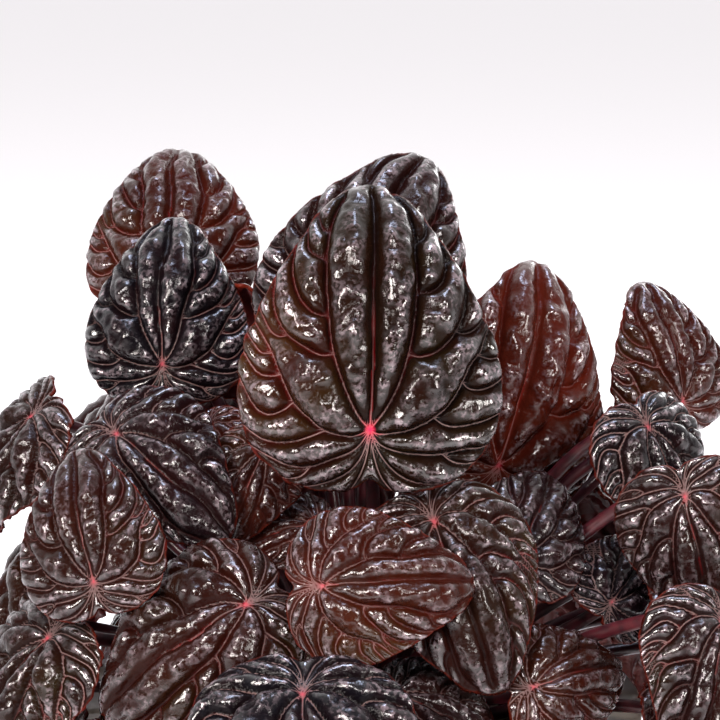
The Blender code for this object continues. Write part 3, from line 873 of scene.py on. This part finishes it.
def mix_of_peat(settings):
    """Damp peat and bark potting mix: dark brown crumbs with drier tan flecks, dull all over."""
    made, tree, body, place = blank_material("potting_mix_damp")
    crumb = add_node(tree, "ShaderNodeTexNoise", {"Vector": place, "Scale": 500.0, "Detail": 6.0})
    clod = add_node(tree, "ShaderNodeTexVoronoi", {"Vector": place, "Scale": 420.0}, feature="F1")
    drier = add_node(tree, "ShaderNodeMapRange", {VALUE: crumb, LOW: 0.4, HIGH: 0.7, TO: 0.8})
    # Darker towards the edges of the clods
    between = add_node(tree, "ShaderNodeMapRange", {VALUE: clod, LOW: 0.5, HIGH: 0.9, TO: 0.5})
    shade = linear(settings.damp)
    for share, colour in ((drier, settings.dry), (between, settings.clod_gap)):
        shade = add_node(
            tree, "ShaderNodeMix", {SHARE: share, UNDER: shade, OVER: linear(colour)}, MIXED, data_type="RGBA"
        )
    rough = add_node(tree, "ShaderNodeBump", {"Strength": 0.9, "Distance": 0.6 * MM, "Height": crumb})
    fill(tree, body, {"Base Color": shade, "Normal": rough, "Roughness": 0.95})
    return made


def perlite_grain(settings):
    """Expanded perlite: chalky off-white glass foam with a pitted, dull face."""
    made, tree, body, place = blank_material("perlite_expanded")
    pits = add_node(tree, "ShaderNodeTexVoronoi", {"Vector": place, "Scale": 1600.0}, feature="F1")
    share = add_node(tree, "ShaderNodeMapRange", {VALUE: pits, LOW: 0.0, HIGH: 0.5})
    shade = add_node(
        tree, "ShaderNodeMix",
        {SHARE: share, UNDER: linear(settings.pit), OVER: linear(settings.chalk)}, MIXED, data_type="RGBA",
    )
    rough = add_node(tree, "ShaderNodeBump", {"Strength": 0.7, "Distance": 0.3 * MM, "Height": pits})
    fill(tree, body, {"Base Color": shade, "Normal": rough, "Roughness": 0.9})
    return made


def crown_bark():
    """Short fleshy stem: brown-red, scarred where old leaves fell, dull with a faint waxy shine."""
    made, tree, body, place = blank_material("crown_fleshy_scarred")
    scar = add_node(tree, "ShaderNodeTexVoronoi", {"Vector": place, "Scale": 260.0}, feature="F1")
    cloud = add_node(tree, "ShaderNodeTexNoise", {"Vector": place, "Scale": 320.0, "Detail": 4.0})
    cloudy = add_node(tree, "ShaderNodeMapRange", {VALUE: cloud, LOW: 0.35, HIGH: 0.7})
    scarred = add_node(tree, "ShaderNodeMapRange", {VALUE: scar, LOW: 0.15, HIGH: 0.45, FROM: 0.6, TO: 0.0})
    shade = linear("4a2420")
    for share, colour in ((cloudy, "6d3a2c"), (scarred, "2c1613")):
        shade = add_node(
            tree, "ShaderNodeMix", {SHARE: share, UNDER: shade, OVER: linear(colour)}, MIXED, data_type="RGBA"
        )
    rough = add_node(tree, "ShaderNodeBump", {"Strength": 0.6, "Distance": 0.5 * MM, "Height": scar})
    fill(tree, body, {"Base Color": shade, "Normal": rough, "Roughness": 0.55})
    return made


def studio_paper(settings):
    """Seamless studio paper: matt, near white, with no visible grain."""
    made, tree, body, _ = blank_material("paper_seamless")
    fill(tree, body, {"Base Color": linear(settings.backdrop), "Roughness": 0.95, "Specular IOR Level": 0.1})
    return made


# Pieces


def turned(profile, sides):
    """A shell turned from a circle that is drawn out ring by ring along (radius, height) points."""
    deselect_all()
    first, height = profile[0]
    bpy.ops.mesh.primitive_circle_add(vertices=sides, radius=first, location=(0, 0, height), fill_type="NGON")
    shell = bpy.context.object
    bpy.ops.object.mode_set(mode="EDIT")
    bpy.ops.mesh.select_all(action="SELECT")
    for (r0, z0), (r1, z1) in zip(profile, profile[1:]):
        bpy.ops.mesh.extrude_region_move(TRANSFORM_OT_translate={"value": (0, 0, z1 - z0)})
        bpy.ops.transform.resize(value=(r1 / r0, r1 / r0, 1), center_override=(0, 0, z1))
    bpy.ops.mesh.select_all(action="SELECT")
    bpy.ops.mesh.normals_make_consistent(inside=False)
    bpy.ops.object.mode_set(mode="OBJECT")
    bpy.ops.object.transform_apply(location=True, rotation=True, scale=True)
    return shell


def smoothed(piece, degrees):
    """Shades a piece smooth where its faces meet at less than an angle."""
    only(piece)
    bpy.ops.object.shade_smooth_by_angle(angle=math.radians(degrees))


def applied(piece, kind, **settings):
    """Puts a modifier on a piece and applies it."""
    only(piece)
    made = piece.modifiers.new(kind.title(), kind)
    for key, value in settings.items():
        setattr(made, key, value)
    bpy.ops.object.modifier_apply(modifier=made.name)


def copies_joined(model, places):
    """Copies of a small model, each turned, scaled and moved by a matrix, joined as one piece."""
    made = []
    for place in places:
        mesh = model.data.copy()
        mesh.transform(place)
        one = bpy.data.objects.new(model.name, mesh)
        bpy.context.scene.collection.objects.link(one)
        made.append(one)
    bpy.data.objects.remove(model)
    deselect_all()
    for one in made:
        one.select_set(True)
    bpy.context.view_layer.objects.active = made[0]
    bpy.ops.object.join()
    return bpy.context.object


def laid_over(points, field, width):
    """The map's value at each point, with the map laid over a square this wide about the pot's axis."""
    last = len(field) - 1
    i, j = (np.clip(((points[:, k] / width + 0.5) * last).astype(int), 0, last) for k in (1, 0))
    return field[i, j]


def soil_height(x, y):
    """Height of the smooth top of the mix, as the frame has it."""
    far = np.hypot(x, y)
    return np.interp(far, (16.3 * MM, 31 * MM, 44.4 * MM), (83 * MM, 80 * MM, 78.5 * MM))


# The photograph: its width, and how far its middle lies from the main leaf's joint, in picture points
PICTURE_POINTS, POINTS_LEFT, POINTS_ABOVE = 720, 10, 70
# The camera's film width in millimetres, and the point among the leaves that the lamps face
SENSOR, LAMP_AIM = 36, Vector((0, 0, 0.14))


class PEPEROMIA_OT_stage(bpy.types.Operator):
    """Sets the floor, the soft studio light and the camera"""

    bl_idname = "peperomia.stage"
    bl_label = "Studio and camera"

    def execute(self, context):
        settings = context.scene.peperomia_stage
        scene = context.scene
        deselect_all()
        bpy.ops.mesh.primitive_plane_add(size=60)
        floor = bpy.context.object
        floor.name = "studio_floor"
        floor.data.materials.append(studio_paper(settings))
        world = bpy.data.worlds.new("studio")
        scene.world = world
        world.use_nodes = True
        tree = world.node_tree
        sky = tree.nodes["Background"]
        # A studio that is dark behind the camera and white behind the plant, so that the gloss has depth
        way = add_node(tree, "ShaderNodeTexCoord", result="Generated")
        depth = add_node(tree, "ShaderNodeSeparateXYZ", {0: way}, "Y")
        strength = add_node(
            tree, "ShaderNodeMapRange",
            {VALUE: depth, LOW: -0.5, HIGH: 0.5, FROM: settings.dark_side, TO: settings.white_side},
        )
        fill(tree, sky, {"Color": linear("f6f4f6"), "Strength": strength})
        for name, place, size, watts, colour in (
            ("window_left", (-0.55, -0.75, 0.62), 0.30, 16.5, "fff6f0"),
            ("window_front", (0.02, -0.72, 0.80), 0.20, 7.0, "fff8f6"),
            ("window_right", (0.66, -0.62, 0.46), 0.22, 7.5, "fff9f4"),
            ("sky_above", (0.05, 0.10, 0.95), 0.26, 4.5, "d4e0ff"),
            ("glow_behind", (0.45, 0.75, 0.45), 0.30, 2.0, "ffffff"),
        ):
            lamp = bpy.data.lights.new(name, "AREA")
            lamp.size, lamp.energy = size, watts
            lamp.color = linear(colour)[:3]
            holder = bpy.data.objects.new(name, lamp)
            scene.collection.objects.link(holder)
            holder.location = place
            holder.rotation_euler = (LAMP_AIM - Vector(place)).to_track_quat("-Z", "Y").to_euler()
        # The picture's middle lies left of the main leaf's joint and above it
        per_point = settings.span / PICTURE_POINTS
        ahead = Vector((0, math.cos(settings.elevation), -math.sin(settings.elevation)))
        up = Vector((0, math.sin(settings.elevation), math.cos(settings.elevation)))
        middle = MAIN_JOINT + Vector((-POINTS_LEFT * per_point, 0, 0)) + up * POINTS_ABOVE * per_point
        lens = bpy.data.cameras.new("camera")
        camera = bpy.data.objects.new("camera", lens)
        scene.collection.objects.link(camera)
        camera.location = middle - ahead * settings.distance
        camera.rotation_euler = (math.pi / 2 - settings.elevation, 0, 0)
        lens.sensor_width = SENSOR
        lens.lens = SENSOR * settings.distance / settings.span
        lens.clip_start = 0.01
        scene.camera = camera
        scene.view_settings.view_transform = "Standard"
        return {"FINISHED"}


class PEPEROMIA_OT_pot(bpy.types.Operator):
    """Turns the pot and drills its drain holes"""

    bl_idname = "peperomia.pot"
    bl_label = "Pot"

    def execute(self, context):
        s = context.scene.peperomia_pot

        def outside(height):
            return s.base_radius + (s.top_radius - s.base_radius) * height / s.height

        floor, foot = 5 * MM, s.height - s.rim_height
        rim = s.top_radius + s.rim_overhang
        pot = turned(
            (
                (s.base_radius * 0.3, 0), (s.base_radius * 0.7, 0), (s.base_radius, 0),
                (outside(foot * 0.33), foot * 0.33), (outside(foot * 0.66), foot * 0.66),
                (outside(foot), foot),
                (rim - 1 * MM, foot + 1.2 * MM), (rim, foot + 2.6 * MM), (rim, s.height),
                (outside(s.height) - s.wall, s.height), (outside(floor) - s.wall, floor), (8 * MM, floor),
            ),
            144,
        )
        applied(pot, "BEVEL", width=0.9 * MM, segments=3, limit_method="ANGLE", angle_limit=math.radians(35))
        for k in range(4):
            angle = math.tau * (k + 0.5) / 4
            deselect_all()
            bpy.ops.mesh.primitive_cylinder_add(
                vertices=32, radius=4.5 * MM, depth=20 * MM,
                location=(20 * MM * math.cos(angle), 20 * MM * math.sin(angle), 0),
            )
            drill = bpy.context.object
            applied(pot, "BOOLEAN", operation="DIFFERENCE", solver="EXACT", object=drill)
            bpy.data.objects.remove(drill)
        smoothed(pot, 32)
        finished(pot, "pot_turned", clay(s), "pot", "pot")
        return {"FINISHED"}


class PEPEROMIA_OT_soil(bpy.types.Operator):
    """Fills the pot with potting mix and strews crumbs and perlite over it"""

    bl_idname = "peperomia.soil"
    bl_label = "Potting mix"

    def execute(self, context):
        s = context.scene.peperomia_soil
        rng = np.random.default_rng(7)
        low, wide, socket = 5.35 * MM, 34.2 * MM, 16.35 * MM
        edge = 44.0 * MM
        rings = [edge - (edge - socket) * k / 22 for k in range(23)]
        profile = [(10 * MM, low), (wide - 2 * MM, low), (wide, low + 2 * MM), (edge, 77.6 * MM)]
        profile += [(r, float(soil_height(r, 0.0)) - 0.5 * MM) for r in rings]
        profile += [(socket, 69.8 * MM), (5 * MM, 69.7 * MM)]
        soil = turned(profile, 128)
        points = points_of(soil)
        top = points[:, 2] > 77 * MM
        lumps = smooth_noise(rng, 200, 200, 7) * 0.7 + smooth_noise(rng, 200, 200, 3) * 0.45
        far = np.hypot(points[:, 0], points[:, 1])
        points[:, 2] += top * laid_over(points, lumps, 0.1) * MM * np.clip((edge - far) / (1.5 * MM), 0, 1)
        set_points(soil, points)
        smoothed(soil, 60)
        finished(soil, "potting_mix", mix_of_peat(s), "soil", "soil")
        for name, count, size, finish in (
            ("mix_crumbs", s.crumbs, 1.3 * MM, mix_of_peat(s)),
            ("perlite_grains", s.perlite, 1.5 * MM, perlite_grain(s)),
        ):
            deselect_all()
            bpy.ops.mesh.primitive_ico_sphere_add(subdivisions=2, radius=1)
            grain = bpy.context.object
            shape = points_of(grain)
            set_points(grain, shape * (1 + 0.22 * np.sin(shape @ rng.uniform(-4, 4, 3) + 1))[:, None])
            places = []
            for _ in range(count):
                angle, far = rng.uniform(0, math.tau), math.sqrt(rng.uniform(0.17, 1)) * 42.5 * MM
                x, y = far * math.cos(angle), far * math.sin(angle)
                scale = size * rng.uniform(0.45, 1.0)
                turn = Matrix.Rotation(rng.uniform(0, 6), 4, "X") @ Matrix.Rotation(rng.uniform(0, 6), 4, "Z")
                wide, high = rng.uniform(0.8, 1.4), rng.uniform(0.5, 0.9)
                flat = Matrix.Diagonal((scale * wide, scale, scale * high, 1))
                z = float(soil_height(x, y)) + scale * 0.15
                places.append(Matrix.Translation((x, y, z)) @ turn @ flat)
            strewn = copies_joined(grain, places)
            smoothed(strewn, 50)
            finished(strewn, name, finish, "soil")
        return {"FINISHED"}


class PEPEROMIA_OT_crown(bpy.types.Operator):
    """Models the short stem that the petioles grow from"""

    bl_idname = "peperomia.crown"
    bl_label = "Crown"

    def execute(self, context):
        rng = np.random.default_rng(11)
        profile = [(6 * MM, CROWN_FOOT), (CROWN_RADIUS, CROWN_FOOT + 0.2 * MM), (CROWN_RADIUS, SOIL_TOP)]
        for step in range(1, 14):
            angle = math.pi / 2 * step / 14
            profile.append((CROWN_RADIUS * math.cos(angle), SOIL_TOP + CROWN_DOME * math.sin(angle)))
        crown = turned(profile, 64)
        points = points_of(crown)
        lumps = laid_over(points, smooth_noise(rng, 120, 120, 6), 0.04)
        inwards = 0.45 * MM * (0.5 + 0.5 * lumps) * (points[:, 2] > SOIL_TOP - MM)
        centre = np.array((0, 0, SOIL_TOP - 5 * MM))
        out = points - centre
        points -= out / np.linalg.norm(out, axis=1)[:, None] * inwards[:, None]
        set_points(crown, points)
        smoothed(crown, 60)
        finished(crown, "crown_stem", crown_bark(), "stem", "crown")
        return {"FINISHED"}


MAIN_JOINT = Vector(FRONT_LEAVES[0][:3]) * MM
# Cells of the quilting's maps, and how far veins stray from the main leaf's, in shares of a leaf's length
MAIN_CELL, FRONT_CELL, OUTER_CELL, VEIN_WANDER = 0.006, 0.009, 0.012, 0.03


def all_rows():
    """Every leaf's row in the terms of FRONT_LEAVES."""
    rng = np.random.default_rng(3)
    rows = list(FRONT_LEAVES)
    for round_pot, reach, height, aside, rising, turn, length in OUTER_LEAVES:
        x = reach * math.sin(math.radians(round_pot))
        y = -reach * math.cos(math.radians(round_pot))
        ruddy, plum = rng.uniform(0, 0.3), rng.uniform(0, 0.9)
        rows.append((x, y, height, round_pot + aside, rising, turn, length, OUTER_FOLD, ruddy, plum))
    return rows


def grow_leaves(context, first, last, detail_of, cell):
    """Grows the leaves of some rows, blade and petiole as one piece each."""
    s = context.scene.peperomia_leaf
    top = bpy.data.materials.get("leaf_skin_waxy") or leaf_top(s)
    under = bpy.data.materials.get("leaf_underside_smooth") or leaf_under(s)
    stalk = bpy.data.materials.get("petiole_fleshy_smooth") or petiole_skin(s)
    rows = all_rows()
    ways = petiole_bases([Vector(row[:3]) * MM for row in rows])
    for index in range(first, last):
        row = rows[index]
        wander = 0.0 if index == 0 else VEIN_WANDER
        blade = make_blade(index, row, detail_of(index, row), cell(index), s, index % 2 == 1, wander)
        blade.data.materials.append(top)
        blade.data.materials.append(under)
        bpy.ops.object.shade_smooth()
        applied(blade, "SOLIDIFY", thickness=s.sheet, offset=-1, use_even_offset=False, material_offset=1)
        _, tip, normal = leaf_axes(*row[3:6])
        tube = make_petiole(ways[index], Vector(row[:3]) * MM, tip, normal, s.petiole_radius)
        tube.data.materials.clear()
        tube.data.materials.append(stalk)
        bpy.ops.object.shade_smooth()
        deselect_all()
        tube.select_set(True)
        blade.select_set(True)
        bpy.context.view_layer.objects.active = blade
        bpy.ops.object.join()
        finished(blade, f"peperomia_leaf_{index + 1:02d}", None, "leaf", f"leaf_{index + 1:02d}")


class PEPEROMIA_OT_front_leaves(bpy.types.Operator):
    """Grows the leaves that show in front"""

    bl_idname = "peperomia.front_leaves"
    bl_label = "Front leaves"

    def execute(self, context):
        s = context.scene.peperomia_leaf

        def detail(index, row):
            return s.main_detail if index == 0 else int(s.front_detail * row[6])

        grow_leaves(context, 0, len(FRONT_LEAVES), detail, lambda index: FRONT_CELL if index else MAIN_CELL)
        return {"FINISHED"}


class PEPEROMIA_OT_outer_leaves(bpy.types.Operator):
    """Grows the leaves of the sides, the back and the rim"""

    bl_idname = "peperomia.outer_leaves"
    bl_label = "Outer leaves"

    def execute(self, context):
        s = context.scene.peperomia_leaf
        grow_leaves(
            context, len(FRONT_LEAVES), len(all_rows()), lambda index, row: int(s.outer_detail * row[6]),
            lambda index: OUTER_CELL,
        )
        return {"FINISHED"}


STEPS = (
    PEPEROMIA_OT_stage, PEPEROMIA_OT_pot, PEPEROMIA_OT_soil, PEPEROMIA_OT_crown, PEPEROMIA_OT_front_leaves,
    PEPEROMIA_OT_outer_leaves,
)


class PEPEROMIA_PT_panel(bpy.types.Panel):
    """Lists the steps that build the plant"""

    bl_idname = "PEPEROMIA_PT_panel"
    bl_label = "Ripple peperomia"
    bl_space_type = "VIEW_3D"
    bl_region_type = "UI"
    bl_category = "Peperomia"

    def draw(self, context):
        for step in STEPS:
            self.layout.operator(step.bl_idname)


SETTINGS = {
    "peperomia_pot": PotSettings, "peperomia_soil": SoilSettings, "peperomia_leaf": LeafSettings,
    "peperomia_stage": StageSettings,
}


def register():
    for kind in (*SETTINGS.values(), *STEPS, PEPEROMIA_PT_panel):
        bpy.utils.register_class(kind)
    for name, kind in SETTINGS.items():
        setattr(bpy.types.Scene, name, bpy.props.PointerProperty(type=kind))


def unregister():
    for name in SETTINGS:
        delattr(bpy.types.Scene, name)
    for kind in reversed((*SETTINGS.values(), *STEPS, PEPEROMIA_PT_panel)):
        bpy.utils.unregister_class(kind)


def main():
    register()
    bpy.ops.peperomia.stage()
    bpy.ops.peperomia.pot()
    bpy.ops.peperomia.soil()
    bpy.ops.peperomia.crown()
    bpy.ops.peperomia.front_leaves()
    bpy.ops.peperomia.outer_leaves()
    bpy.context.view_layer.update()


if __name__ == "__main__":
    main()
